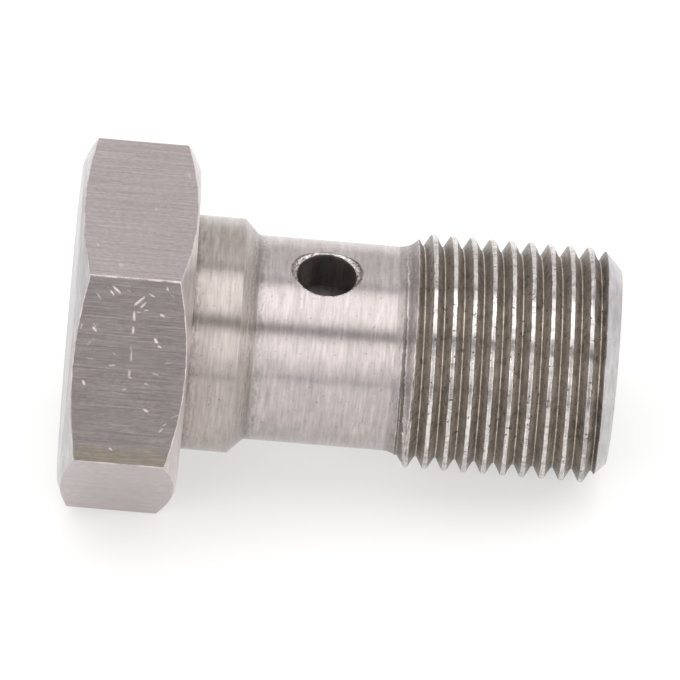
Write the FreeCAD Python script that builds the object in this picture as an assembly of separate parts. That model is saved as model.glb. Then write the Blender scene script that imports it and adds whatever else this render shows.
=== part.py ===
import FreeCAD, Part
import math
import os

# Banjo bolt, M12 x 1, one turned and milled piece of stainless steel.
# The bolt is built standing on its own axis: local Z runs from the head to the tip,
# Z = 0 is the seat under the head and local +X looks out of the cross hole.
# The last step lays it down the way it comes to rest: on one flat of the hexagon
# and on its last full thread crest, cross hole facing up. All sizes are millimetres.

# Head
HEAD_AF = 17.0                # across flats
HEAD_THICKNESS = 6.0
END_FACE_DIA = 16.23          # flat circle left on the end face by its chamfer
END_CHAMFER_DEG = 20.6        # from the plane of the end face
SEAT_FACE_DIA = 16.6          # flat circle left on the seat side
SEAT_CHAMFER_DEG = 27.0       # from the plane of the seat

# Stem
LENGTH_UNDER_HEAD = 21.84
COLLAR_LENGTH = 2.5           # centring collar under the head
TAPER_DEG = 45.0              # collar down to the shank, from the axis
NECK_RELIEF = 0.16            # how far the shank lies below the thread root, on the radius
FLARE_START = 10.43           # end of the plain shank
FLARE_RADIUS = 1.25           # hollow sweep from the shank up to the thread crest
FLARE_STEPS = 3               # short cones that follow the sweep within 0.03
TIP_CHAMFER = 1.0             # 45 degrees

# Thread, M12 x 1, 60 degree section
THREAD_MAJOR_DIA = 12.0
THREAD_PITCH = 1.0
THREAD_FLANK_DEG = 30.0       # each flank, from the plane across the axis
DEPTH_PER_PITCH = 0.615
CREST_PER_PITCH = 0.19        # flat left on the crest
THREAD_PHASE = 0.765          # axial place of the groove's centre line on local +X, within one pitch

# What follows from the thread: the collar centres the banjo ring on the thread's own diameter,
# and the shank is turned below its root so that the ring slides over and oil can pass
THREAD_ROOT_DIA = THREAD_MAJOR_DIA - 2 * DEPTH_PER_PITCH * THREAD_PITCH
SHANK_DIA = THREAD_ROOT_DIA - 2 * NECK_RELIEF
COLLAR_DIA = THREAD_MAJOR_DIA

# Oil ways
CROSS_HOLE_DIA = 3.0
CROSS_HOLE_POS = 6.75         # from the seat, through both walls
CROSS_COUNTERSINK = 0.35      # measured along the axis at the shank surface
BORE_DIA = 6.0                # blind, from the tip
BORE_END = 4.6                # end of the full diameter, from the seat
BORE_POINT_DEG = 118.0
BORE_MOUTH_CHAMFER = 0.3

# Clearances of the cutting bodies
OVER = 0.15                   # how far a cutter stands proud of the metal it opens


def vec(x, y, z):
    return FreeCAD.Vector(x, y, z)


def tan_deg(angle):
    return math.tan(math.radians(angle))


def turned(points):
    """Solid of revolution about local Z of a closed outline given as (radius, z)."""
    corners = [vec(r, 0, z) for r, z in points]
    wire = Part.makePolygon(corners + [corners[0]])
    return Part.Face(wire).revolve(vec(0, 0, 0), vec(0, 0, 1), 360)


def make_head():
    corner_radius = HEAD_AF / 2 / math.cos(math.radians(30))
    hexagon = []
    for k in range(7):
        a = math.radians(30 + 60 * k)
        hexagon.append(vec(corner_radius * math.cos(a), corner_radius * math.sin(a), -HEAD_THICKNESS))
    prism = Part.Face(Part.makePolygon(hexagon)).extrude(vec(0, 0, HEAD_THICKNESS))
    # the lathe takes both chamfers before the flats are milled
    reach = corner_radius + 1.0
    end_drop = (reach - END_FACE_DIA / 2) * tan_deg(END_CHAMFER_DEG)
    seat_drop = (reach - SEAT_FACE_DIA / 2) * tan_deg(SEAT_CHAMFER_DEG)
    lens = turned([
        (0, -HEAD_THICKNESS),
        (END_FACE_DIA / 2, -HEAD_THICKNESS),
        (reach, -HEAD_THICKNESS + end_drop),
        (reach, -seat_drop),
        (SEAT_FACE_DIA / 2, 0),
        (0, 0),
    ])
    return prism.common(lens)


def make_stem():
    major = THREAD_MAJOR_DIA / 2
    shank = SHANK_DIA / 2
    collar = COLLAR_DIA / 2
    # the hollow flare leaves the shank at a tangent and ends at the crest radius
    rise = major - shank
    flare_angle = math.acos((FLARE_RADIUS - rise) / FLARE_RADIUS)
    flare = []
    for k in range(FLARE_STEPS + 1):
        a = flare_angle * k / FLARE_STEPS
        flare.append((shank + FLARE_RADIUS * (1 - math.cos(a)), FLARE_START + FLARE_RADIUS * math.sin(a)))
    foot = -HEAD_THICKNESS / 2
    taper_length = (collar - shank) / tan_deg(TAPER_DEG)
    return turned([
        (0, foot),
        (collar, foot),
        (collar, COLLAR_LENGTH),
        (shank, COLLAR_LENGTH + taper_length),
    ] + flare + [
        (major, LENGTH_UNDER_HEAD - TIP_CHAMFER),
        (major - TIP_CHAMFER, LENGTH_UNDER_HEAD),
        (0, LENGTH_UNDER_HEAD),
    ])


def make_thread_groove():
    """Right-hand groove of trapezoid section. It starts in the air beside the shank,
    which is thinner than the thread root, and runs out past the tip."""
    major = THREAD_MAJOR_DIA / 2
    root = THREAD_ROOT_DIA / 2
    flank = tan_deg(THREAD_FLANK_DEG)
    half_top = THREAD_PITCH * (1 - CREST_PER_PITCH) / 2
    half_root = half_top - (major - root) * flank
    half_outer = half_top + OVER * flank
    first = math.floor((FLARE_START - half_outer - THREAD_PHASE) / THREAD_PITCH)
    start = THREAD_PHASE + first * THREAD_PITCH
    turns = math.ceil((LENGTH_UNDER_HEAD + half_outer - start) / THREAD_PITCH)
    helix = Part.makeLongHelix(THREAD_PITCH, turns * THREAD_PITCH, root, 0.0)
    section = Part.makePolygon([
        vec(root, 0, -half_root),
        vec(root, 0, half_root),
        vec(major + OVER, 0, half_outer),
        vec(major + OVER, 0, -half_outer),
        vec(root, 0, -half_root),
    ])
    groove = Part.Wire(helix.Edges).makePipeShell([section], True, True)
    groove.translate(vec(0, 0, start))
    return groove


def make_bore():
    r = BORE_DIA / 2
    point = r / tan_deg(BORE_POINT_DEG / 2)
    mouth = BORE_MOUTH_CHAMFER
    return turned([
        (0, BORE_END - point),
        (r, BORE_END),
        (r, LENGTH_UNDER_HEAD - mouth),
        (r + mouth + OVER, LENGTH_UNDER_HEAD + OVER),
        (0, LENGTH_UNDER_HEAD + OVER),
    ])


def make_cross_hole():
    reach = SHANK_DIA / 2 + OVER
    hole = Part.makeCylinder(
        CROSS_HOLE_DIA / 2, 2 * reach, vec(-reach, 0, CROSS_HOLE_POS), vec(1, 0, 0))
    depth = CROSS_COUNTERSINK + OVER
    cutters = [hole]
    for side in (1, -1):
        cutters.append(Part.makeCone(
            CROSS_HOLE_DIA / 2 + depth, CROSS_HOLE_DIA / 2, depth,
            vec(side * reach, 0, CROSS_HOLE_POS), vec(-side, 0, 0)))
    return cutters


def rest_tilt():
    """Angle of the axis below the horizontal when the bolt lies on a flat and on the last
    crest before the end chamfer, both straight below the axis."""
    flat_edge = -(HEAD_AF - SEAT_FACE_DIA) / 2 * tan_deg(SEAT_CHAMFER_DEG)
    crest_below = THREAD_PHASE + THREAD_PITCH
    half_crest = THREAD_PITCH * CREST_PER_PITCH / 2
    last = LENGTH_UNDER_HEAD - TIP_CHAMFER
    turns = math.floor((last - crest_below + half_crest) / THREAD_PITCH)
    crest = min(crest_below + turns * THREAD_PITCH + half_crest, last)
    drop = (HEAD_AF - THREAD_MAJOR_DIA) / 2
    return math.degrees(math.atan2(drop, crest - flat_edge))


bolt = make_head().fuse(make_stem())
bolt = bolt.cut(make_thread_groove())
bolt = bolt.cut(make_bore())
for cutter in make_cross_hole():
    bolt = bolt.cut(cutter)
bolt = bolt.Solids[0]

# lay the bolt down: axis along +X, cross hole up, then tip it onto the thread
bolt.rotate(vec(0, 0, 0), vec(0, 1, 0), 90)
bolt.rotate(vec(0, 0, 0), vec(1, 0, 0), 180)
bolt.rotate(vec(0, 0, 0), vec(0, 1, 0), rest_tilt())

os.makedirs("parts", exist_ok=True)
bolt.exportStep("parts/banjo_bolt.step")
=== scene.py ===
import math
import random

import bpy
from bpy.props import FloatProperty, FloatVectorProperty, PointerProperty
from bpy.types import Node, NodeSocket, Operator, Panel, PropertyGroup
from mathutils import Matrix, Vector, noise


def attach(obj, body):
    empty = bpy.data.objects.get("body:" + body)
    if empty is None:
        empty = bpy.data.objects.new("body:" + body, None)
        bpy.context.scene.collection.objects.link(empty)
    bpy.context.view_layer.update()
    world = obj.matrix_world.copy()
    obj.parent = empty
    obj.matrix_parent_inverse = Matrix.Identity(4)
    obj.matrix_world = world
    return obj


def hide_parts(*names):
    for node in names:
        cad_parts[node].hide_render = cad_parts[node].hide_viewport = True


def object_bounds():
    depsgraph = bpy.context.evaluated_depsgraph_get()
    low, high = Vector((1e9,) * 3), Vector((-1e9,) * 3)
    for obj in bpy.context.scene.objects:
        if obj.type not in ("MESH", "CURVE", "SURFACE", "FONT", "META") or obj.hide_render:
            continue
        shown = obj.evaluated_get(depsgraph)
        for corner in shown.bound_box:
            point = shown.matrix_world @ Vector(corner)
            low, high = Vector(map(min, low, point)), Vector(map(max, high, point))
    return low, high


bl_info = {
    "name": "Banjo bolt M12 x 1",
    "version": (1, 0, 0),
    "blender": (4, 5, 0),
    "location": "View3D > Sidebar > Banjo bolt",
    "description": "Turned and milled stainless banjo bolt lying on a pale studio floor",
    "category": "Add Mesh",
}

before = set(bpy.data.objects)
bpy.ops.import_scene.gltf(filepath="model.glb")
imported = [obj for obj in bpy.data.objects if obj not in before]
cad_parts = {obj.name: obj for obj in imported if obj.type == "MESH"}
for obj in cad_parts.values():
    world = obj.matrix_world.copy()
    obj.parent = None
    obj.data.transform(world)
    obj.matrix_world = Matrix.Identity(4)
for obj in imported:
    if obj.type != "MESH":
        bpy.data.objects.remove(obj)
CAD_BOX = [list(corner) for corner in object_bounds()]
NODE = "banjo_bolt"
BODY = "root"

MM = 1000.0                   # millimetres in a metre
HUNDREDTH = 0.00001           # a hundredth of a millimetre, in metres
SAME = 1e-7                   # radii this close, in metres, are one radius
UV_PER_METRE = 50.0           # scale of V along the turned outline
LATHE_RADIAL = 1.3            # how far a metre of radius moves V on the turned faces
THREAD_RADIAL = 0.25          # and on the thread


def linear(hex_colour):
    """Linear RGB of an sRGB hex colour."""
    parts = [int(hex_colour[i:i + 2], 16) / 255 for i in (1, 3, 5)]
    return tuple(c / 12.92 if c <= 0.04045 else ((c + 0.055) / 1.055) ** 2.4 for c in parts)


def fill(tree, node, inputs):
    """Gives a node's inputs, by name or in their order, values, sockets or whole nodes, of which
    the first output is meant."""
    for key, value in inputs.items() if isinstance(inputs, dict) else enumerate(inputs):
        if isinstance(value, Node):
            value = value.outputs[0]
        if isinstance(value, NodeSocket):
            tree.links.new(value, node.inputs[key])
        else:
            node.inputs[key].default_value = value


def add_node(tree, kind, inputs=(), **settings):
    """Adds a node with its settings and fills its inputs. Shader nodes go by their short name."""
    short = not kind.startswith(("GeometryNode", "NodeGroup"))
    node = tree.nodes.new("ShaderNode" + kind if short else kind)
    for name, value in settings.items():
        setattr(node, name, value)
    fill(tree, node, inputs)
    return node


# Sizes, in the bolt's own frame: Z along the axis from the head to the tip, Z = 0 at the seat
# under the head, +X out of the cross hole.

def length(name, description, millimetres):
    return FloatProperty(name=name, description=description, default=millimetres / MM,
                         min=0.0, unit="LENGTH", precision=5)


def angle(name, description, degrees):
    return FloatProperty(name=name, description=description, default=math.radians(degrees),
                         unit="ROTATION")


def amount(name, description, default):
    return FloatProperty(name=name, description=description, default=default, min=0.0)


def tint(name, description, hex_colour):
    return FloatVectorProperty(name=name, description=description, subtype="COLOR",
                               default=linear(hex_colour), min=0, max=1)


class BanjoBoltSizes(PropertyGroup):
    head_across_flats: length("Across flats", "Spanner size of the hexagon", 17.0)
    head_thickness: length("Head thickness", "Seat to end face", 6.0)
    end_face_dia: length("End face", "Flat circle inside the end chamfer", 16.23)
    end_chamfer: angle("End chamfer", "Cone on the end face side", 20.6)
    seat_face_dia: length("Seat face", "Flat circle inside the seat chamfer", 16.6)
    seat_chamfer: angle("Seat chamfer", "Cone on the seat side", 27.0)
    collar_dia: length("Collar", "Centring collar under the head", 12.0)
    collar_length: length("Collar length", "From the seat to the taper", 2.5)
    shank_dia: length("Shank", "Plain shank between collar and thread", 10.45)
    flare_start: length("Flare start", "End of the plain shank from the seat", 10.43)
    flare_radius: length("Flare radius", "Hollow sweep up to the thread crest", 1.25)
    thread_major_dia: length("Thread major", "Over the crests", 12.0)
    thread_root_dia: length("Thread root", "At the bottom of the groove", 10.77)
    thread_pitch: length("Pitch", "Crest to crest", 1.0)
    crest_flat: length("Crest flat", "Width of the flat on the crest", 0.19)
    first_crest: length("First crest", "Axial place of the lowest crest on the hole side", 9.265)
    length_under_head: length("Length under head", "Seat to tip", 21.84)
    tip_chamfer: length("Tip chamfer", "45 degrees", 1.0)
    cross_hole_dia: length("Cross hole", "Drilled through both walls", 3.0)
    cross_hole_place: length("Cross hole place", "From the seat", 6.75)
    cross_countersink: length("Cross countersink", "Along its axis, at the shank surface", 0.35)
    bore_dia: length("Oil bore", "Blind bore from the tip", 6.0)
    bore_end: length("Oil bore end", "End of the full diameter from the seat", 4.6)
    bore_point: angle("Oil bore point", "Whole angle of the drill point", 118.0)
    bore_mouth_chamfer: length("Bore mouth", "Chamfer at the tip", 0.3)
    edge_break: length("Edge break", "Radius worn onto the chamfers' edges", 0.055)
    rest_tilt: angle("Rest tilt", "Axis below the horizontal when lying on a flat", 6.807631)


class BanjoBoltFinish(PropertyGroup):
    flat_colour: tint("Drawn flats", "Hexagon flats", "#afa5a4")
    stain_colour: tint("Stain", "Dried oil on the edge of one flat", "#b0a598")
    turned_colour: tint("Turned faces", "Shank and flare", "#bdb4b2")
    # The collar and taper are the shank's steel made about a tenth darker.
    collar_colour: tint("Collar", "Collar and taper, a little darker than the shank", "#b6aca8")
    # Painted light: the seat and its chamfer are a lighter copy of the turned steel, to make up
    # for the shaded floor and collar that they reflect.
    seat_lightened_colour: tint("Seat", "Seat and the chamfer round it", "#d3cac7")
    chamfer_colour: tint("Chamfers", "End face, tip face and the chamfers round them", "#c0bdbe")
    flank_colour: tint("Thread flanks", "Cut flanks with dried oil", "#9a9087")
    crest_colour: tint("Thread crests", "Bright crest lands and the countersink", "#d2ccc9")
    # Painted highlight along the thread's root, nearly white.
    root_highlight_colour: tint("Thread root", "Painted highlight along the bottom of the groove", "#fbeedd")
    bore_colour: tint("Drilled holes", "Drilled walls, darker than the turned faces", "#a59d9b")


class BanjoBoltStudio(PropertyGroup):
    floor_colour: tint("Floor", "Pale studio floor", "#bdbdbc")
    floor_glow: amount("Floor glow", "Light that comes up through the white board", 0.46)
    tent: amount("Light tent", "Brightness of the diffusing tent round the bolt", 1.0)
    tent_ends: amount("Tent ends", "Share of the tent's light left at its two ends", 0.72)
    side: amount("Side panels", "Extra light left and right of the lens", 1.55)
    lens: amount("Lens", "Focal length in millimetres of the long product lens", 800.0)
    frame_width: length("Frame width", "Width of the picture at the bolt", 34.74)
    view_turn: angle("View turn", "Tip turned away from the lens", 2.0)
    view_roll: angle("View height", "Cross hole's turn from the lens about the axis", 44.4)
    axis_slope: angle("Axis slope", "Slope of the axis in the picture", 4.8)
    aim_along: length("Aim", "Picture centre along the axis from the seat", 7.81)
    aim_above: length("Aim above", "Picture centre above the axis", 0.214)


# Shared geometry

def lay_down(sizes):
    """Bolt frame to world: hole side up, axis along +X and dipping to the tip."""
    dip = sizes.rest_tilt
    up = (math.sin(dip), 0, math.cos(dip))
    near = (0, -1, 0)
    along = (math.cos(dip), 0, -math.sin(dip))
    return Matrix((up, near, along)).transposed().to_4x4()


def profile(corners, steps):
    """Outline through corners of (x, y, radius, parts): a corner with a radius becomes an arc of
    steps + 1 points, and the straight run after each corner is split into its parts."""
    out = []
    for i, (x, y, radius, _) in enumerate(corners):
        here = Vector((x, y))
        arc = [here]
        if radius:
            back = (Vector(corners[i - 1][:2]) - here).normalized()
            ahead = (Vector(corners[i + 1][:2]) - here).normalized()
            half = back.angle(ahead) / 2
            centre = here + (back + ahead).normalized() * (radius / math.sin(half))
            start = here + back * (radius / math.tan(half)) - centre
            end = here + ahead * (radius / math.tan(half)) - centre
            sweep = start.angle_signed(end)
            arc = [centre + Matrix.Rotation(-sweep * k / steps, 2) @ start
                   for k in range(steps + 1)]
        if out:
            last, parts = out[-1], corners[i - 1][3]
            out += [last.lerp(arc[0], k / parts) for k in range(1, parts)]
        out += arc
    return out


def turn_uv(mesh):
    """UV with U round the axis, so that the tangent follows the lathe's feed marks."""
    layer = mesh.uv_layers.new(name="UVMap")
    for face in mesh.polygons:
        places = [mesh.vertices[index].co for index in face.vertices]
        turns = [math.atan2(p.y, p.x) / (2 * math.pi) % 1.0 for p in places]
        high = max(turns)
        for corner, turn, p in zip(face.loop_indices, turns, places):
            if high - turn > 0.5:
                turn += 1
            outline = p.z - LATHE_RADIAL * math.hypot(p.x, p.y)
            layer.data[corner].uv = (turn, UV_PER_METRE * outline)


def turned_mesh(name, verts, faces, materials, slots):
    mesh = bpy.data.meshes.new(name)
    mesh.from_pydata(verts, [], faces)
    for material in materials:
        mesh.materials.append(material)
    for face, slot in zip(mesh.polygons, slots):
        face.material_index = slot
        face.use_smooth = True
    mesh.validate()
    turn_uv(mesh)
    return mesh


def finish_piece(name, mesh, sizes, sharp_degrees):
    """Shades a mesh made in the bolt frame, lays it down and hands it to the frame."""
    mesh.set_sharp_from_angle(angle=math.radians(sharp_degrees))
    mesh.transform(lay_down(sizes))
    mesh.update()
    piece = bpy.data.objects.new(name, mesh)
    bpy.context.scene.collection.objects.link(piece)
    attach(piece, BODY)
    return piece


# Finishes. Patterns are worked out from millimetres and read the bolt's own frame. A pattern is
# (cells, detail, span, values): noise with its own number of cells along X, Y and Z, of which
# the span from low to high is spread over two values.

WIDE = (0.3, 0.7)             # the span that takes in nearly all that the noise gives


def bolt_coordinates(tree, sizes):
    """Object coordinates turned into the bolt's frame, in metres, with X along the axis."""
    place = add_node(tree, "TexCoord").outputs["Object"]
    return add_node(tree, "Mapping", {"Vector": place, "Rotation": (0, -sizes.rest_tilt, 0)})


def lathe_coordinates(tree, sizes):
    """X follows the turned outline, Y and Z lie across the axis, all in millimetres. The place
    along the axis, in metres, comes with them."""
    uv = add_node(tree, "UVMap", uv_map="UVMap")
    outline = add_node(tree, "SeparateXYZ", [uv]).outputs
    parts = add_node(tree, "SeparateXYZ", [bolt_coordinates(tree, sizes)]).outputs
    scaled = [add_node(tree, "Math", pair, operation="MULTIPLY") for pair in (
        (outline["Y"], MM / UV_PER_METRE), (parts["Y"], MM), (parts["Z"], MM))]
    return add_node(tree, "CombineXYZ", scaled), parts["X"]


def grain(tree, place, cells, detail, span, values):
    """One pattern of noise."""
    spread = add_node(tree, "VectorMath", (place, cells), operation="MULTIPLY")
    cloud = add_node(tree, "TexNoise", {
        "Vector": spread, "Scale": 1.0, "Detail": detail, "Roughness": 0.6})
    return add_node(tree, "MapRange", (cloud, *span, *values))


def toned(tree, place, shader, colour, tones):
    """Base colour multiplied in turn by grey tones, which are patterns or nodes."""
    for tone in tones:
        if isinstance(tone, tuple):
            tone = grain(tree, place, *tone)
        grey = add_node(tree, "CombineXYZ", (tone, tone, tone))
        colour = add_node(tree, "VectorMath", (colour, grey), operation="MULTIPLY")
    fill(tree, shader, {"Base Color": colour})


def tooled(tree, place, shader, strength, marks, depth=HUNDREDTH, spread=0.0):
    """Relief of the tool marks; spread draws the highlights out across marks round the axis."""
    height = grain(tree, place, *marks, (0.0, 1.0))
    fill(tree, shader, {"Normal": add_node(tree, "Bump", {
        "Strength": strength, "Distance": depth, "Height": height})})
    if spread:
        tangent = add_node(tree, "Tangent", direction_type="UV_MAP", uv_map="UVMap")
        fill(tree, shader, {
            "Tangent": tangent, "Anisotropic": spread, "Anisotropic Rotation": 0.25})


def set_stops(ramp, stops):
    """Gives a colour ramp its stops of (position, colour)."""
    elements = ramp.color_ramp.elements
    while len(elements) < len(stops):
        elements.new(1.0)
    for element, (position, colour) in zip(elements, stops):
        element.position = position
        element.color = (*colour, 1)


def half_grey(level):
    """Half of a level, because a ramp holds no more than 1. The use of the ramp doubles it."""
    return (level / 2,) * 3


def new_material(name):
    material = bpy.data.materials.new(name)
    material.use_nodes = True
    tree = material.node_tree
    tree.nodes.clear()
    shader = add_node(tree, "BsdfPrincipled", {"Metallic": 1.0})
    add_node(tree, "OutputMaterial", {"Surface": shader})
    return material, tree, shader


def drawn_flats(sizes, finish):
    """Cold-drawn hexagon bar."""
    # gives the eye a satin, slightly warm face with lines along the bar; the real die lines are a
    # hundredth of a millimetre wide and are drawn six times as wide so that they show
    material, tree, shader = new_material("drawn_stainless_flats")
    place = bolt_coordinates(tree, sizes)
    die_lines = ((260, 15000, 15000), 2.0, WIDE)
    nick, stain = (add_node(tree, "Attribute", attribute_name=name).outputs["Fac"]
                   for name in ("nick", "stain"))
    browned = tuple(Vector(finish.stain_colour) - Vector(finish.flat_colour))
    colour = add_node(tree, "VectorMath", (
        stain, browned, tuple(finish.flat_colour)), operation="MULTIPLY_ADD")
    toned(tree, place, shader, colour, (
        add_node(tree, "MapRange", (nick, 0.0, 1.0, 1.0, 1.75)),
        (*die_lines, (0.88, 1.10)),
        ((3500, 6000, 6000), 4.0, WIDE, (0.88, 1.08)),  # grit in the die
        ((330, 330, 330), 2.0, WIDE, (0.97, 1.03))))  # cloudy film
    satin = grain(tree, place, (400, 4000, 4000), 2.0, (0.2, 0.8), (0.20, 0.28))
    rough = add_node(tree, "MapRange", (nick, 0.0, 1.0, satin, 0.75))
    fill(tree, shader, {"Roughness": rough})
    tooled(tree, place, shader, 0.45, die_lines)
    return material


CORNER_DARKENING_REACH = 0.0009           # how far the darkening reaches out from an inner corner, at most
RUN_OUT = 0.0007              # where the first groove leaves the flare, from the flare's start
# From the groove's edge outwards: a brown film, then a pale ridge of torn metal, each about
# 0.08 mm wide
TORN_RIM = ((0.0, 0.5), (0.42, 0.55), (0.52, 1.65), (0.7, 1.5), (0.9, 1.0))
TORN_RIM_SCALE = 3200.0       # stops of the rim in a metre


def turned_faces(sizes, name, colour, corners=(), smooth=0.28, spread=0.96, torn=False):
    """Stainless off the lathe, darker in a ragged band beside the inner corners at these axial
    places.
    """
    # gives the eye close rings round the axis with a few deeper ones, and lamps drawn out into
    # bands along the bolt; the real feed is about 0.05 mm, one pixel, and is drawn at 0.12 mm
    material, tree, shader = new_material("turned_stainless_" + name)
    place, along = lathe_coordinates(tree, sizes)
    feed_marks = ((8.0, 0.9, 0.9), 4.0, WIDE)
    tones = [
        (*feed_marks, (0.82, 1.13)),
        ((3.0, 0.15, 0.15), 2.0, WIDE, (0.90, 1.06)),  # deeper rings
        ((1.1, 1.1, 1.1), 4.0, WIDE, (0.92, 1.05)),  # cloudy film
        ((5.0, 5.0, 5.0), 3.0, (0.27, 0.38), (0.72, 1.0))]  # specks of oil
    # each of these places darkens the steel in a band that fades out within a ragged reach
    for corner in corners:
        away = add_node(tree, "Math", (along, corner), operation="SUBTRACT")
        away = add_node(tree, "Math", [away], operation="ABSOLUTE")
        reach = grain(tree, place, (6.0, 3.0, 3.0), 4.0, WIDE, (0.0, CORNER_DARKENING_REACH))
        tones.append(add_node(tree, "MapRange", (away, 0.0, reach, 0.6, 1.0)))
    if torn:
        rim = add_node(tree, "Attribute", attribute_name="rim").outputs["Fac"]
        ragged = grain(tree, place, (1.5, 2.5, 2.5), 3.0, WIDE, (-0.2, 0.2))
        edge = add_node(tree, "Math", (rim, TORN_RIM_SCALE, ragged), operation="MULTIPLY_ADD")
        ramp = add_node(tree, "ValToRGB", [edge])
        set_stops(ramp, [(position, half_grey(tone)) for position, tone in TORN_RIM])
        ridge = add_node(tree, "Math", (ramp, 2.0), operation="MULTIPLY")
        tones.append(add_node(tree, "MapRange", (
            along, sizes.flare_start + 0.0003, sizes.flare_start + 0.0005, 1.0, ridge)))
    toned(tree, place, shader, tuple(colour), tones)
    fill(tree, shader, {"Roughness": grain(
        tree, place, (2.0, 0.3, 0.3), 2.0, (0.2, 0.8), (smooth, smooth + 0.1))})
    tooled(tree, place, shader, 0.6, feed_marks, spread=spread)
    return material


def cut_thread(sizes, finish):
    """Thread cut in stainless steel, with dried oil in the groove."""
    # gives the eye bright crest lands, dull brown flanks and a thin broken painted highlight
    # along the root; the oil specks are real ones of a tenth of a millimetre and more
    material, tree, shader = new_material("cut_thread_stainless")
    place, along = lathe_coordinates(tree, sizes)
    depth = add_node(tree, "Attribute", attribute_name="groove_depth").outputs["Fac"]
    ramp = add_node(tree, "ValToRGB", [depth])
    # the last stop paints a highlight along the root
    set_stops(ramp, ((0.03, finish.crest_colour), (0.10, finish.flank_colour),
                     (0.991, finish.flank_colour), (0.998, finish.root_highlight_colour)))
    # darker where the groove runs out into the flare, and oil gathers in the last groove before
    # the tip
    flare, tip = sizes.flare_start, sizes.length_under_head
    blotched = grain(tree, place, (2.0, 1.2, 1.2), 3.0, (0.35, 0.65), (0.55, 1.0))
    toned(tree, place, shader, ramp, (
        add_node(tree, "MapRange", (along, flare + RUN_OUT, flare + 0.0013, 0.6, 1.0)),
        add_node(tree, "MapRange", (along, tip - 0.0018, tip - 0.0013, 1.0, blotched)),
        ((9.0, 0.35, 0.35), 3.0, WIDE, (0.74, 1.18)),  # lines left by the tool
        ((5.0, 3.0, 3.0), 4.0, WIDE, (0.82, 1.12)),  # torn flanks
        ((1.0, 2.2, 2.2), 3.0, (0.36, 0.5), (0.74, 1.04)),  # patches of oil
        ((4.5, 4.5, 4.5), 2.0, (0.31, 0.38), (0.35, 1.0))))  # specks of oil
    gloss = add_node(tree, "MapRange", (depth, 0.03, 0.15, 0.22, 0.50))
    fill(tree, shader, {"Roughness": gloss})
    tooled(tree, place, shader, 0.4, ((1.6, 1.1, 1.1), 3.0, WIDE), spread=0.8)
    return material


def drilled_walls(sizes, name, finish):
    """Twist-drilled stainless steel."""
    # gives the eye dull walls, a little darker than the turned faces, with faint rings left by
    # the drill
    material, tree, shader = new_material("drilled_stainless_" + name)
    drill_rings = ((5000, 700, 700), 2.0, WIDE, (0.75, 1.1))
    toned(tree, bolt_coordinates(tree, sizes), shader, tuple(finish.bore_colour), [drill_rings])
    fill(tree, shader, {"Roughness": 0.42})
    return material


def countersunk_rim(sizes, finish):
    """Countersink cut with a chattering tool, with a torn burr left on it."""
    # gives the eye a ring broken into spots of painted glint and painted shade over the chatter's
    # real relief; they are 0.15 mm, their real size
    material, tree, shader = new_material("countersunk_stainless")
    place, _ = lathe_coordinates(tree, sizes)
    chatter = ((6.5, 6.5, 6.5), 3.0, (0.36, 0.62))
    # the chatter pattern paints glints and dark spots into the colour, and also drives the relief
    toned(tree, place, shader, tuple(finish.crest_colour), (
        (*chatter, (0.35, 1.35)), ((2.0, 2.0, 2.0), 2.0, WIDE, (0.8, 1.1))))
    fill(tree, shader, {"Roughness": 0.34})
    tooled(tree, place, shader, 0.8, chatter, 2 * HUNDREDTH)
    return material


def opal_board(studio):
    """Opal acrylic board, lit a little from below."""
    # gives the eye an even matt white with one soft shadow and no gloss
    material, tree, shader = new_material("opal_acrylic_board")
    fill(tree, shader, {
        "Metallic": 0.0, "Roughness": 0.9, "Base Color": (*studio.floor_colour, 1),
        "Emission Color": (1, 1, 1, 1), "Emission Strength": studio.floor_glow})
    return material


# Head

LENS_FLAT = 1                 # the flat that faces the lens; it gets the most columns
LENS_FLAT_STEPS, FLAT_STEPS = 220, 60
FLAT_ROWS = 108
CORNER_STEPS = 6              # facets of a worn corner of the hexagon
CORNER_WEAR = 2.2             # wear there and at the two flat faces, in edge breaks
FACE_WEAR = 3
FACE_CENTRE = 0.0003          # radius of the small fan that closes the end face
SEAT_JOIN = 8 * HUNDREDTH     # how far outside the collar the head's mesh meets the stem's
RUBBED_ROWS = 3               # rows beside the flats that look like them

# Nicks seen on the flat that faces the lens: place across and along, length and width (mm),
# turn from the axis (degrees) and depth (mm)
NICKS = (
    (-4.25, -3.95, 0.55, 0.10, 40, 0.05),
    (-4.05, -4.15, 0.35, 0.08, 55, 0.04),
    (-3.75, -2.75, 0.75, 0.10, -45, 0.06),
    (-3.55, -2.55, 0.45, 0.08, -50, 0.04),
    (-2.95, -2.95, 0.55, 0.09, 85, 0.05),
    (-2.2, -2.95, 0.4, 0.09, 95, 0.05),
    (-1.0, -2.95, 0.9, 0.07, 88, 0.04),
    (0.1, -2.95, 0.5, 0.08, 90, 0.04),
    (-3.1, -1.55, 0.25, 0.12, 20, 0.05),
    (-1.75, -1.75, 0.3, 0.14, 60, 0.06),
    (-1.45, -1.55, 0.2, 0.12, 10, 0.05),
    (-4.5, -1.4, 0.2, 0.1, 70, 0.04),
    (1.95, -1.95, 0.3, 0.12, 30, 0.05),
    (0.75, -5.2, 0.3, 0.12, 60, 0.05),
    (-2.1, -4.9, 0.35, 0.1, 50, 0.05),
)
SMALL_NICKS = 64              # more, at random on all flats
BRIGHT_DEPTH = 0.035          # mm; a nick this deep is as bright as nicks get
NICK_RELIEF = 0.4             # share of a nick's depth that is cut into the mesh


def all_nicks():
    luck = random.Random(7)
    nicks = [(LENS_FLAT, *nick) for nick in NICKS]
    for _ in range(SMALL_NICKS):
        nicks.append((
            luck.choice((0, 1, 1, 2, 3, 4, 5)), luck.uniform(-4.6, 4.6), luck.uniform(-5.6, -0.4),
            luck.uniform(0.2, 0.6), luck.uniform(0.06, 0.1), luck.gauss(0, 35),
            luck.uniform(0.008, 0.025)))
    return nicks


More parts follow.
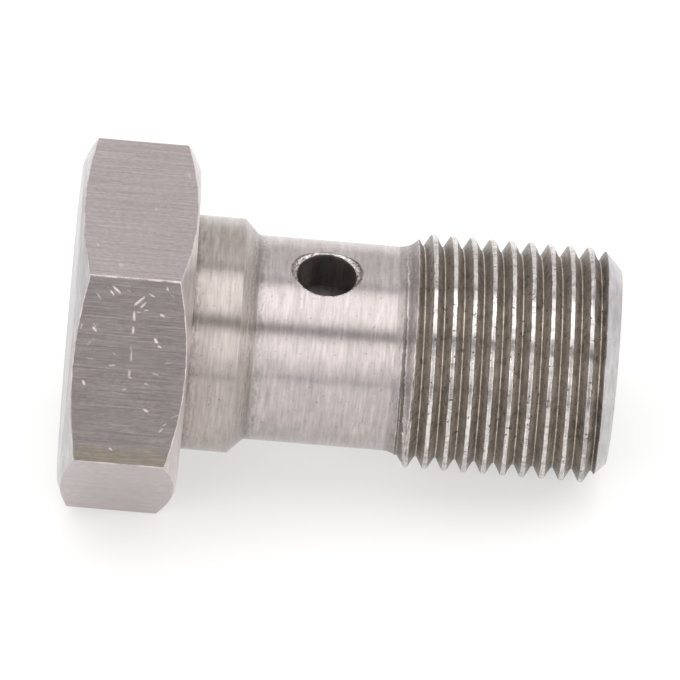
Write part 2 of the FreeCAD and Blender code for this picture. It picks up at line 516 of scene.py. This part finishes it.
def nicked(flat, across, along, nicks):
    """How much of a nick is at a place on a flat, from 0 to 1, and its depth there in metres."""
    mark, deepest = 0.0, 0.0
    for where, s, z, size, width, turn, deep in nicks:
        du = along * MM - z
        dv = across * MM - s
        if where != flat or abs(du) > size or abs(dv) > size:
            continue
        c, t = math.cos(math.radians(turn)), math.sin(math.radians(turn))
        u = (du * c + dv * t) / (size / 2)
        v = (-du * t + dv * c) / (width * 0.4)
        if abs(u) < 1 and abs(v) < 1:
            bite = (1 - u * u) * (1 - v * v)
            mark = max(mark, min(0.9, bite * deep / BRIGHT_DEPTH))
            deepest = max(deepest, bite * deep / MM)
    return mark, deepest


def head_columns(sizes):
    """Places round the hexagon: turn, radius, flat and place across it. A worn corner's columns
    are on no flat."""
    half = sizes.head_across_flats / 2
    worn = CORNER_WEAR * sizes.edge_break
    reach = (half - worn) * math.tan(math.radians(30))
    corner = (half - worn) / math.cos(math.radians(30))
    columns = []
    for flat in range(6):
        facing = math.radians(60 * flat)
        steps = LENS_FLAT_STEPS if flat == LENS_FLAT else FLAT_STEPS
        for i in range(steps + 1):
            s = reach * (2 * i / steps - 1)
            columns.append((math.atan2(s, half) + facing, math.hypot(half, s), flat, s))
        a = facing + math.pi / 6
        centre = Vector((corner * math.cos(a), corner * math.sin(a)))
        for i in range(1, CORNER_STEPS):
            a = facing + math.radians(60 * i / CORNER_STEPS)
            p = centre + Vector((math.cos(a), math.sin(a))) * worn
            columns.append((math.atan2(p.y, p.x), p.length, None, 0))
    return columns


def head_outline(radius, sizes, rub):
    """Radius and height from the centre of the end face to the collar, at one place round."""
    end, seat = sizes.end_face_dia / 2, sizes.seat_face_dia / 2
    low = -sizes.head_thickness + (radius - end) * math.tan(sizes.end_chamfer)
    high = -(radius - seat) * math.tan(sizes.seat_chamfer)
    worn = sizes.edge_break * rub
    return profile((
        (FACE_CENTRE, -sizes.head_thickness, 0, 6),
        (end, -sizes.head_thickness, FACE_WEAR * worn, 4),
        (radius, low, worn, FLAT_ROWS),
        (radius, high, worn, 4),
        (seat, 0, FACE_WEAR * worn, 4),
        (sizes.collar_dia / 2 + SEAT_JOIN, 0, 0, 1),
    ), 3)


class BANJO_OT_head(Operator):
    """Hexagon head with both chamfers, worn edges and nicked flats"""
    bl_idname = "banjo.head"
    bl_label = "Hexagon head"

    def execute(self, context):
        sizes = context.scene.banjo_sizes
        finish = context.scene.banjo_finish
        columns = head_columns(sizes)
        nicks = all_nicks()
        verts, faces, slots, marks, stains = [], [], [], [], []
        for turn, radius, flat, s in columns:
            c, t = math.cos(turn), math.sin(turn)
            rub = 1 + 0.9 * noise.noise(Vector((4 * c * radius, 4 * t * radius, 0)) * MM)
            outline = head_outline(radius, sizes, rub)
            for r, z in outline:
                p = Vector((r * c, r * t, z)) * MM
                if flat is None or r < radius - SAME:
                    # bright wear in patches about a millimetre long
                    mark = min(0.8, max(0.0, 0.35 + 1.1 * noise.fractal(1.3 * p, 0.7, 2.0, 3)))
                else:
                    mark, deep = nicked(flat, s, z, nicks)
                    r -= NICK_RELIEF * deep
                # dried oil in a band under a millimetre wide along one edge of the lens's flat
                oil = (s * MM - 3.85) / 0.5 if flat == LENS_FLAT else 0.0
                oil *= 0.8 + noise.fractal(Vector((0.6, 2.5, 2.5)) * p, 0.7, 2.0, 3)
                stains.append(min(1.0, max(0.0, oil)))
                marks.append(mark)
                verts.append((r * c, r * t, z))
        rows = len(outline)
        flat_rows = [j for j in range(rows - 1) if abs(outline[j].x - outline[j + 1].x) < SAME]
        first, last = flat_rows[0], flat_rows[-1]
        # slots: 0 the flats and their edges, 1 the seat side, 2 the end side
        for i in range(len(columns)):
            a, b = i * rows, (i + 1) % len(columns) * rows
            for j in range(rows - 1):
                faces.append((a + j, b + j, b + j + 1, a + j + 1))
                rubbed = first - RUBBED_ROWS <= j <= last + RUBBED_ROWS
                slots.append(0 if rubbed else 2 if j < first else 1)
        verts.append((0, 0, -sizes.head_thickness))
        for i in range(len(columns)):
            faces.append((len(verts) - 1, (i + 1) % len(columns) * rows, i * rows))
            slots.append(2)
        mesh = turned_mesh("hex_head", verts, faces, (
            drawn_flats(sizes, finish),
            # the seat's colour is lightened as painted light
            turned_faces(sizes, "seat", finish.seat_lightened_colour, spread=0.6),
            turned_faces(sizes, "chamfer", finish.chamfer_colour, spread=0.6),
        ), slots)
        for name, values in (("nick", marks), ("stain", stains)):
            layer = mesh.attributes.new(name, "FLOAT", "POINT")
            layer.data.foreach_set("value", values + [0.0])
        head = finish_piece("hex_head", mesh, sizes, 40)
        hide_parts(NODE)
        return {"FINISHED"}


# Stem and oil ways

HOLE_SIDE = 38                # faces along each side of the square patch round a cross hole
PATCH_RINGS = 9               # rings from that square in to the hole
BEFORE_PATCH, AFTER_PATCH = 16, 12      # parts of the wall on either side of it


def walled(outline, columns, hole_rows, hole_place, radius, rim, deeper):
    """Surface of revolution with a square patch of rings round each mouth of the cross hole.

    outline holds (radius, z); hole_rows are the first and last row of the patch; rim(turn) is
    the hole's half width at the wall; deeper(turn) gives the (half width, height, slot) of each
    ring that goes on down the hole."""
    verts, faces, slots = [], [], []
    half = HOLE_SIDE // 2
    first, last = hole_rows
    for r, z in outline:
        for i in range(columns):
            a = 2 * math.pi * i / columns
            verts.append((r * math.cos(a), r * math.sin(a), z))
    openings = (0, columns // 2)
    for j in range(len(outline) - 1):
        for i in range(columns):
            held = any((i - o + half) % columns < HOLE_SIDE for o in openings)
            if first <= j < last and held:
                continue
            k = (i + 1) % columns
            a, b = j * columns, (j + 1) * columns
            faces.append((a + i, a + k, b + k, b + i))
            slots.append(0)
    loop = [(i, first) for i in range(-half, half)]
    loop += [(half, j) for j in range(first, last)]
    loop += [(i, last) for i in range(half, -half, -1)]
    loop += [(-half, j) for j in range(last, first, -1)]
    flat = [Vector((radius * 2 * math.pi * i / columns, outline[j][1] - hole_place))
            for i, j in loop]
    turns = [math.atan2(p.y, p.x) for p in flat]
    for o in openings:
        facing = 2 * math.pi * o / columns
        ring = [j * columns + (o + i) % columns for i, j in loop]
        rings = []
        for k in range(1, PATCH_RINGS + 1):
            level = []
            for p, t in zip(flat, turns):
                edge = rim(t)
                side = radius * math.asin(edge * math.cos(t) / radius)
                q = p.lerp(Vector((side, edge * math.sin(t))), (k / PATCH_RINGS) ** 0.9)
                a = facing + q.x / radius
                level.append((radius * math.cos(a), radius * math.sin(a), hole_place + q.y))
            rings.append((level, 0))
        for places in zip(*(deeper(t) for t in turns)):
            level = []
            for t, (width, x, slot) in zip(turns, places):
                y = width * math.cos(t)
                level.append((x * math.cos(facing) - y * math.sin(facing),
                              x * math.sin(facing) + y * math.cos(facing),
                              hole_place + width * math.sin(t)))
            rings.append((level, slot))
        for level, slot in rings:
            inner = list(range(len(verts), len(verts) + len(level)))
            verts.extend(level)
            for i in range(len(ring)):
                k = (i + 1) % len(ring)
                faces.append((ring[i], ring[k], inner[k], inner[i]))
                slots.append(slot)
            ring = inner
    return verts, faces, slots


def with_patch(outline, low, high):
    """Splits the run of an outline that holds low and high so that rows fall on both."""
    out = []
    rows = (0, 0)
    for p, q in zip(outline, outline[1:] + [None]):
        out.append(p)
        if q and min(p.y, q.y) < min(low, high) and max(p.y, q.y) > max(low, high):
            lead, tail = Vector((p.x, low)), Vector((p.x, high))
            out += [p.lerp(lead, k / BEFORE_PATCH) for k in range(1, BEFORE_PATCH)]
            rows = (len(out), len(out) + HOLE_SIDE)
            out += [lead.lerp(tail, k / HOLE_SIDE) for k in range(HOLE_SIDE + 1)]
            out += [tail.lerp(q, k / AFTER_PATCH) for k in range(1, AFTER_PATCH)]
    return out, rows


class BANJO_OT_stem(Operator):
    """Collar, taper and shank with the countersunk cross hole"""
    bl_idname = "banjo.stem"
    bl_label = "Collar and shank"

    def execute(self, context):
        sizes = context.scene.banjo_sizes
        finish = context.scene.banjo_finish
        collar, shank = sizes.collar_dia / 2, sizes.shank_dia / 2
        taper_end = sizes.collar_length + collar - shank
        columns = 256
        half_patch = math.pi * sizes.shank_dia / columns * HOLE_SIDE / 2
        outline = profile((
            (collar + SEAT_JOIN, 0, 0, 1),
            (collar, 0, 6 * HUNDREDTH, 16),
            (collar, sizes.collar_length, 8 * HUNDREDTH, 6),
            (shank, taper_end, 30 * HUNDREDTH, 1),
            (shank, sizes.flare_start + 10 * HUNDREDTH, 0, 1),
        ), 4)
        hole = sizes.cross_hole_place
        outline, rows = with_patch(outline, hole - half_patch, hole + half_patch)
        drill = sizes.cross_hole_dia / 2
        floor = shank - sizes.cross_countersink
        shank_slot, rim_slot, drilled_slot, collar_slot = range(4)

        def height(width, turn, wall):
            """Height of a round wall over the axis, at this half width and turn of the hole."""
            return math.sqrt(wall ** 2 - (width * math.cos(turn)) ** 2)

        def rim(turn):
            # the cone's edge on the round shank closes in on one width after a few rounds
            width = drill + sizes.cross_countersink
            for _ in range(20):
                width = drill + height(width, turn, shank) - floor
            burr = noise.noise(Vector((6 * math.cos(turn), 6 * math.sin(turn), 4.1)))
            return width + 4 * HUNDREDTH * burr

        def deeper(turn):
            # a step at the mouth in the darker drilled finish, as painted shade round the rim,
            # and a raised lip, then the cone, a lip at its foot and the wall
            top = rim(turn)
            mouth = height(top, turn, shank)
            chatter = noise.noise(Vector((7 * math.cos(turn), 7 * math.sin(turn), 0.3)))
            low = floor + 5 * HUNDREDTH * chatter
            rings = [(top - 3 * HUNDREDTH, mouth - 4 * HUNDREDTH, drilled_slot),
                     (top - 6 * HUNDREDTH, mouth - HUNDREDTH, rim_slot)]
            for k in (0.25, 0.5, 0.75):
                rings.append((top + (drill - top) * k - HUNDREDTH / 2,
                              mouth + (low - mouth) * k - 2 * HUNDREDTH, rim_slot))
            rings += [(drill + 2 * HUNDREDTH, low + HUNDREDTH, rim_slot),
                      (drill, low - 3 * HUNDREDTH, drilled_slot)]
            bore = height(drill, turn, sizes.bore_dia / 2)
            return rings + [(drill, low + (bore - low) * k / 8, drilled_slot)
                            for k in range(1, 9)]

        verts, faces, slots = walled(outline, columns, rows, hole, shank, rim, deeper)
        for i, face in enumerate(faces):
            if max(verts[corner][2] for corner in face) < taper_end + 10 * HUNDREDTH:
                slots[i] = collar_slot
        mesh = turned_mesh("stem", verts, faces, (
            turned_faces(sizes, "shank", finish.turned_colour, (taper_end,)),
            countersunk_rim(sizes, finish),
            drilled_walls(sizes, "cross_hole", finish),
            turned_faces(sizes, "collar", finish.collar_colour, (0.0, taper_end)),
        ), slots)
        finish_piece("collar_and_shank", mesh, sizes, 35)
        return {"FINISHED"}


class BANJO_OT_oil_way(Operator):
    """Tip face and the blind oil bore that the cross hole meets"""
    bl_idname = "banjo.oil_way"
    bl_label = "Tip face and oil bore"

    def execute(self, context):
        sizes = context.scene.banjo_sizes
        finish = context.scene.banjo_finish
        tip, bore, mouth = sizes.length_under_head, sizes.bore_dia / 2, sizes.bore_mouth_chamfer
        columns = 184
        half_patch = math.pi * sizes.bore_dia / columns * HOLE_SIDE / 2
        point = bore / math.tan(sizes.bore_point / 2)
        fan = 0.0001          # radius of the small fan that closes the drill point
        tip_parts = 8
        outline = profile((
            (sizes.thread_major_dia / 2 - sizes.tip_chamfer, tip, 0, tip_parts),
            (bore + mouth, tip, 6 * HUNDREDTH, 3),
            (bore, tip - mouth, 6 * HUNDREDTH, 1),
            (bore, sizes.bore_end, 0, 10),
            (fan, sizes.bore_end - point * (1 - fan / bore), 0, 1),
        ), 3)
        hole, drill = sizes.cross_hole_place, sizes.cross_hole_dia / 2
        outline, rows = with_patch(outline, hole + half_patch, hole - half_patch)
        verts, faces, _ = walled(
            outline, columns, rows, hole, bore, lambda turn: drill, lambda turn: [])
        slots = [0 if face[0] // columns <= tip_parts else 1 for face in faces]
        last = (len(outline) - 1) * columns
        verts.append((0, 0, sizes.bore_end - point))
        for i in range(columns):
            faces.append((last + i, last + (i + 1) % columns, len(verts) - 1))
            slots.append(1)
        mesh = turned_mesh("oil_way", verts, faces, (
            turned_faces(sizes, "tip", finish.chamfer_colour, spread=0.6),
            drilled_walls(sizes, "bore", finish)), slots)
        finish_piece("tip_and_oil_way", mesh, sizes, 35)
        return {"FINISHED"}


# Thread

WELD = 0.000002               # points this close, in metres, are one
ROOT_FILLET = 8 * HUNDREDTH
CREST_EDGE = 3 * HUNDREDTH

# The tree's sums: each step works a value out of numbers or of earlier values by name. First
# each grid point's place on the helix, with whole steps in every turn, so that a turn's edge
# welds to the next one's, and where it lies in the noise that tears the crests.
HELIX_STEPS = (
    ("turns", "SUBTRACT", "Last turn", "First turn"),
    ("steps", "MULTIPLY", "turns", "Steps per turn"),
    ("steps", "ROUND", "steps"),
    ("turns", "DIVIDE", "steps", "Steps per turn"),
    ("columns", "ADD", "steps", 1.0),
    ("turn", "ADD", "x", 0.5),
    ("turn", "MULTIPLY", "turn", "turns"),
    ("turn", "ADD", "turn", "First turn"),
    ("last row", "SUBTRACT", "count", 1.0),
    ("row", "ADD", "y", 0.5),
    ("row", "MULTIPLY", "row", "last row"),
    ("row", "ROUND", "row"),
    ("angle", "MULTIPLY", "turn", 2 * math.pi),
    ("cosine", "COSINE", "angle"),
    ("sine", "SINE", "angle"),
    ("tear x", "MULTIPLY", "cosine", 14.0),
    ("tear y", "MULTIPLY", "sine", 14.0),
    ("tear z", "MULTIPLY", "turn", 3.0),
)
# Then the metal: the crests are torn and slightly wavy, with waves a third of a millimetre long,
# and the blank under the groove is the hollow flare at one end and the chamfer at the other
METAL_STEPS = (
    ("below", "SUBTRACT", "Major radius", "radius"),
    ("full depth", "SUBTRACT", "Major radius", "Root radius"),
    ("depth", "DIVIDE", "below", "full depth"),
    ("aside", "ABSOLUTE", "along"),
    ("aside", "DIVIDE", "aside", "Pitch"),
    ("aside", "MULTIPLY", "aside", 0.2),
    ("aside", "ADD", "aside", 0.9),
    ("mark", "MULTIPLY", "depth", "aside"),
    ("shallow", "MINIMUM", "depth", 1.0),
    ("shallow", "SUBTRACT", 1.0, "shallow"),
    ("tear", "SUBTRACT", "tear", 0.5),
    ("tear", "MULTIPLY", "tear", "shallow"),
    ("tear out", "MULTIPLY", "tear", 4 * HUNDREDTH),
    ("radius", "ADD", "radius", "tear out"),
    ("tear along", "MULTIPLY", "tear", 8 * HUNDREDTH),
    ("axial", "MULTIPLY", "Pitch", "turn"),
    ("axial", "ADD", "axial", "First crest"),
    ("axial", "ADD", "axial", "along"),
    ("axial", "ADD", "axial", "tear along"),
    ("axial", "MAXIMUM", "axial", "Flare start"),
    ("axial", "MINIMUM", "axial", "Length"),
    ("rise", "SUBTRACT", "axial", "Flare start"),
    ("rise", "MINIMUM", "rise", "Flare radius"),
    ("rise squared", "MULTIPLY", "rise", "rise"),
    ("flare squared", "MULTIPLY", "Flare radius", "Flare radius"),
    ("hollow", "SUBTRACT", "flare squared", "rise squared"),
    ("hollow", "SQRT", "hollow"),
    ("flare", "ADD", "Shank radius", "Flare radius"),
    ("flare", "SUBTRACT", "flare", "hollow"),
    ("chamfer start", "SUBTRACT", "Length", "Chamfer"),
    ("past", "SUBTRACT", "axial", "chamfer start"),
    ("chamfer drop", "MAXIMUM", "past", 0.0),
    ("blank", "SUBTRACT", "Major radius", "chamfer drop"),
    ("blank", "MINIMUM", "blank", "flare"),
    ("grazed", "SUBTRACT", "radius", 4 * HUNDREDTH),
    ("cut", "LESS_THAN", "grazed", "blank"),
    ("rim", "SUBTRACT", "radius", "blank"),
    ("radius", "MINIMUM", "radius", "blank"),
    ("past end", "GREATER_THAN", "past", 0.0),
    ("past end", "ADD", "past end", 1.0),
    ("on blank", "SUBTRACT", 1.0, "cut"),
    ("on blank", "MULTIPLY", "on blank", "past end"),
    ("outline", "MULTIPLY", "radius", THREAD_RADIAL),
    ("outline", "ADD", "outline", "axial"),
    ("outline", "MULTIPLY", "outline", UV_PER_METRE),
    ("spun x", "MULTIPLY", "radius", "cosine"),
    ("spun y", "MULTIPLY", "radius", "sine"),
)


def thread_section(sizes):
    """One pitch of the thread from root to root: (radius, place along the axis)."""
    root, major = sizes.thread_root_dia / 2, sizes.thread_major_dia / 2
    half, land = sizes.thread_pitch / 2, sizes.crest_flat / 2
    foot = land + (major - root) * math.tan(math.radians(30))
    return profile((
        (root, -half, 0, 1), (root, -foot, ROOT_FILLET, 7), (major, -land, CREST_EDGE, 2),
        (major, land, CREST_EDGE, 7), (root, foot, ROOT_FILLET, 1), (root, half, 0, 1)), 3)


def thread_inputs(sizes):
    """The tree's inputs by name. The sweep starts and ends a little outside the blank."""
    first, pitch = sizes.first_crest, sizes.thread_pitch
    return {
        "Major radius": sizes.thread_major_dia / 2, "Root radius": sizes.thread_root_dia / 2,
        "Pitch": pitch, "First crest": first, "Shank radius": sizes.shank_dia / 2,
        "Flare start": sizes.flare_start, "Flare radius": sizes.flare_radius,
        "Length": sizes.length_under_head, "Chamfer": sizes.tip_chamfer,
        "First turn": (sizes.flare_start - first) / pitch - 0.6,
        "Last turn": (sizes.length_under_head - first) / pitch + 0.6,
        "Steps per turn": 190,
    }


def thread_tree(inputs, threaded, turned, chamfered):
    """Sweeps the section round the axis and trims it to the flare and to the end chamfer."""
    tree = bpy.data.node_groups.new("thread_sweep", "GeometryNodeTree")
    tree.interface.new_socket("Section", in_out="INPUT", socket_type="NodeSocketGeometry")
    for name, value in inputs.items():
        kind = "NodeSocketInt" if isinstance(value, int) else "NodeSocketFloat"
        tree.interface.new_socket(name, in_out="INPUT", socket_type=kind)
    tree.interface.new_socket("Thread", in_out="OUTPUT", socket_type="NodeSocketGeometry")
    given = add_node(tree, "NodeGroupInput").outputs

    count = add_node(tree, "GeometryNodeAttributeDomainSize", [given["Section"]])
    place = add_node(tree, "GeometryNodeInputPosition")
    on_sheet = add_node(tree, "SeparateXYZ", [place]).outputs
    value = {socket.name: socket for socket in given if socket.name}
    value.update({"count": count, "x": on_sheet["X"], "y": on_sheet["Y"]})
    for name, operation, *terms in HELIX_STEPS:
        value[name] = add_node(tree, "Math", [value.get(term, term) for term in terms],
                               operation=operation)

    sheet = add_node(tree, "GeometryNodeMeshGrid", (1.0, 1.0, value["columns"], count))
    sample = add_node(tree, "GeometryNodeSampleIndex", {
        "Geometry": given["Section"], "Value": place, "Index": value["row"]},
        data_type="FLOAT_VECTOR")
    point = add_node(tree, "SeparateXYZ", [sample]).outputs
    where = add_node(tree, "CombineXYZ", [value["tear " + axis] for axis in "xyz"])
    tear = add_node(tree, "TexNoise", {"Vector": where, "Scale": 1.0, "Detail": 3.0})
    value.update({"tear": tear, "radius": point["X"], "along": point["Z"]})
    for name, operation, *terms in METAL_STEPS:
        value[name] = add_node(tree, "Math", [value.get(term, term) for term in terms],
                               operation=operation)

    uv = add_node(tree, "CombineXYZ", (value["turn"], value["outline"]))
    spun = add_node(tree, "CombineXYZ", [
        value[name] for name in ("spun x", "spun y", "axial")])
    shape = sheet
    for name, stored, kind, domain in (
            ("groove_depth", value["mark"], "FLOAT", "POINT"),
            ("on_blank", value["on blank"], "FLOAT", "POINT"),
            ("rim", value["rim"], "FLOAT", "POINT"),
            ("UVMap", uv, "FLOAT2", "CORNER")):
        shape = add_node(tree, "GeometryNodeStoreNamedAttribute", {
            "Geometry": shape, "Name": name, "Value": stored}, data_type=kind, domain=domain)
    for kind, inputs in (
            ("GeometryNodeSetPosition", {"Position": spun}),
            ("GeometryNodeMergeByDistance", {"Distance": WELD}),
            ("GeometryNodeSetShadeSmooth", {}),
            ("GeometryNodeRealizeInstances", {})):
        shape = add_node(tree, kind, {"Geometry": shape, **inputs})
    on_blank = add_node(tree, "GeometryNodeInputNamedAttribute", {"Name": "on_blank"})
    for material, above in ((threaded, -1.0), (turned, 0.6), (chamfered, 1.6)):
        chosen = add_node(tree, "Math", (on_blank, above), operation="GREATER_THAN")
        shape = add_node(tree, "GeometryNodeSetMaterial", {
            "Geometry": shape, "Material": material, "Selection": chosen})
    add_node(tree, "NodeGroupOutput", [shape])
    return tree


class BANJO_OT_thread(Operator):
    """Single-start right-hand thread with its hollow flare and chamfered end"""
    bl_idname = "banjo.thread"
    bl_label = "Thread and flare"

    def execute(self, context):
        sizes = context.scene.banjo_sizes
        finish = context.scene.banjo_finish
        points = [(p.x, 0, p.y) for p in thread_section(sizes)]
        section = bpy.data.meshes.new("thread_section")
        section.from_pydata(points, [(i, i + 1) for i in range(len(points) - 1)], [])
        holder = bpy.data.objects.new("thread_section", section)
        context.scene.collection.objects.link(holder)
        inputs = thread_inputs(sizes)
        tree = thread_tree(
            inputs, cut_thread(sizes, finish),
            turned_faces(sizes, "flare", finish.turned_colour,
                         (sizes.flare_start + RUN_OUT,), 0.44, torn=True),
            turned_faces(sizes, "end", finish.chamfer_colour, spread=0.6))
        sweep = holder.modifiers.new("thread_sweep", "NODES")
        sweep.node_group = tree
        for socket in tree.interface.items_tree:
            if socket.name in inputs:
                sweep[socket.identifier] = inputs[socket.name]
        evaluated = holder.evaluated_get(context.evaluated_depsgraph_get())
        mesh = bpy.data.meshes.new_from_object(evaluated)
        mesh.name = "thread"
        holder.modifiers.remove(sweep)
        bpy.data.objects.remove(holder)
        if not mesh.polygons:
            raise RuntimeError("the thread tree made no faces")
        finish_piece("thread_and_flare", mesh, sizes, 50)
        return {"FINISHED"}


# Studio

FLOOR_REACH = 3               # half the floor's side, in metres
# White tent seen in the bolt from the front horizon over the top to the back horizon: angle
# in degrees and brightness. The dips are the tent's seams.
TENT = (
    (0, 0.40), (15, 0.44), (28, 0.80), (52, 0.88), (55, 0.42), (61, 0.42), (65, 1.35), (72, 1.75),
    (80, 1.95), (104, 1.98), (110, 1.65), (114, 0.70), (118, 0.70), (123, 1.12), (140, 1.04),
    (160, 0.95), (180, 0.98))
# Panels left and right of the lens: angle and brightness in the same way
PANELS = ((0, 0.0), (3, 1.0), (49, 1.0), (52, 0.0))


def light_tent(sizes, studio):
    """White tent with dark seams, dimmer at the bolt's two ends and brighter beside the lens."""
    world = bpy.data.worlds.new("light_tent")
    world.use_nodes = True
    tree = world.node_tree
    tree.nodes.clear()
    facing = add_node(tree, "TexCoord").outputs["Generated"]
    turned = add_node(tree, "Mapping", {"Vector": facing, "Rotation": (0, -sizes.rest_tilt, 0)})
    along, across, up = add_node(tree, "SeparateXYZ", [turned]).outputs
    front = add_node(tree, "Math", (across, -1.0), operation="MULTIPLY")
    height = add_node(tree, "Math", (up, front), operation="ARCTAN2")
    height = add_node(tree, "Math", (height, math.pi), operation="DIVIDE")
    aside = add_node(tree, "Math", [along], operation="ABSOLUTE")
    # along the axis the tent fades to its ends, and the panels start beside the lens
    shares = []
    for stops, *fade in (
            (TENT, 0.6, 1.0, 1.0, studio.tent_ends), (PANELS, 0.14, 0.36, 0.0, studio.side)):
        ramp = add_node(tree, "ValToRGB", [height])
        set_stops(ramp, [(degrees / 180, half_grey(level)) for degrees, level in stops])
        fading = add_node(tree, "MapRange", (aside, *fade), interpolation_type="SMOOTHSTEP")
        shares.append(add_node(tree, "Math", (ramp, fading), operation="MULTIPLY"))
    total = add_node(tree, "Math", shares, operation="ADD")
    total = add_node(tree, "Math", (total, 2 * studio.tent), operation="MULTIPLY")
    back = add_node(tree, "Background", {"Color": (1, 1, 1, 1), "Strength": total})
    add_node(tree, "OutputWorld", {"Surface": back})
    return world


def product_camera(sizes, studio):
    """Long lens that looks at the bolt from the side, about 45 degrees above the floor."""
    pose = lay_down(sizes).to_3x3()
    up, near, along = (Vector(pose.col[i]) for i in range(3))
    turn, roll, slope = studio.view_turn, studio.view_roll, studio.axis_slope
    to_lens = (-along * math.sin(turn)
               + (up * math.cos(roll) + near * math.sin(roll)) * math.cos(turn))
    axis = (along - to_lens * along.dot(to_lens)).normalized()
    above = to_lens.cross(axis)
    right = axis * math.cos(slope) + above * math.sin(slope)
    top = above * math.cos(slope) - axis * math.sin(slope)
    camera = bpy.data.cameras.new("product_camera")
    camera.lens = studio.lens
    camera.clip_end = 50
    distance = studio.frame_width * studio.lens / camera.sensor_width
    aim = along * studio.aim_along + above * studio.aim_above
    eye = bpy.data.objects.new("product_camera", camera)
    turned = Matrix((right, top, to_lens)).transposed().to_4x4()
    eye.matrix_world = Matrix.Translation(aim + to_lens * distance) @ turned
    return eye


class BANJO_OT_studio(Operator):
    """Pale floor, white light tent and the long-lens camera"""
    bl_idname = "banjo.studio"
    bl_label = "Studio"

    def execute(self, context):
        sizes = context.scene.banjo_sizes
        studio = context.scene.banjo_studio
        scene = context.scene
        scene.view_settings.view_transform = "Standard"

        low, far = CAD_BOX[0][2], FLOOR_REACH
        mesh = bpy.data.meshes.new("floor")
        mesh.from_pydata([(-far, -far, low), (far, -far, low), (far, far, low), (-far, far, low)],
                         [], [(0, 1, 2, 3)])
        mesh.materials.append(opal_board(studio))
        floor = bpy.data.objects.new("studio_floor", mesh)
        scene.collection.objects.link(floor)

        scene.world = light_tent(sizes, studio)
        scene.camera = product_camera(sizes, studio)
        scene.collection.objects.link(scene.camera)
        return {"FINISHED"}


# Panel and start

PIECES = (BANJO_OT_head, BANJO_OT_stem, BANJO_OT_thread, BANJO_OT_oil_way, BANJO_OT_studio)
GROUPS = {
    "banjo_sizes": BanjoBoltSizes,
    "banjo_finish": BanjoBoltFinish,
    "banjo_studio": BanjoBoltStudio,
}


class BANJO_PT_pieces(Panel):
    """Lists the pieces of the banjo bolt and the values behind them"""
    bl_idname = "BANJO_PT_pieces"
    bl_label = "Banjo bolt"
    bl_space_type = "VIEW_3D"
    bl_region_type = "UI"
    bl_category = "Banjo bolt"

    def draw(self, context):
        for piece in PIECES:
            self.layout.operator(piece.bl_idname)
        for name in GROUPS:
            group = getattr(context.scene, name)
            box = self.layout.box()
            for value in group.__annotations__:
                box.prop(group, value)


CLASSES = (*GROUPS.values(), *PIECES, BANJO_PT_pieces)


def register():
    for cls in CLASSES:
        bpy.utils.register_class(cls)
    for name, group in GROUPS.items():
        setattr(bpy.types.Scene, name, PointerProperty(type=group))


def unregister():
    for name in reversed(GROUPS):
        delattr(bpy.types.Scene, name)
    for cls in reversed(CLASSES):
        bpy.utils.unregister_class(cls)


def main():
    register()
    bpy.ops.banjo.head()
    bpy.ops.banjo.stem()
    bpy.ops.banjo.thread()
    bpy.ops.banjo.oil_way()
    bpy.ops.banjo.studio()


if __name__ == "__main__":
    main()
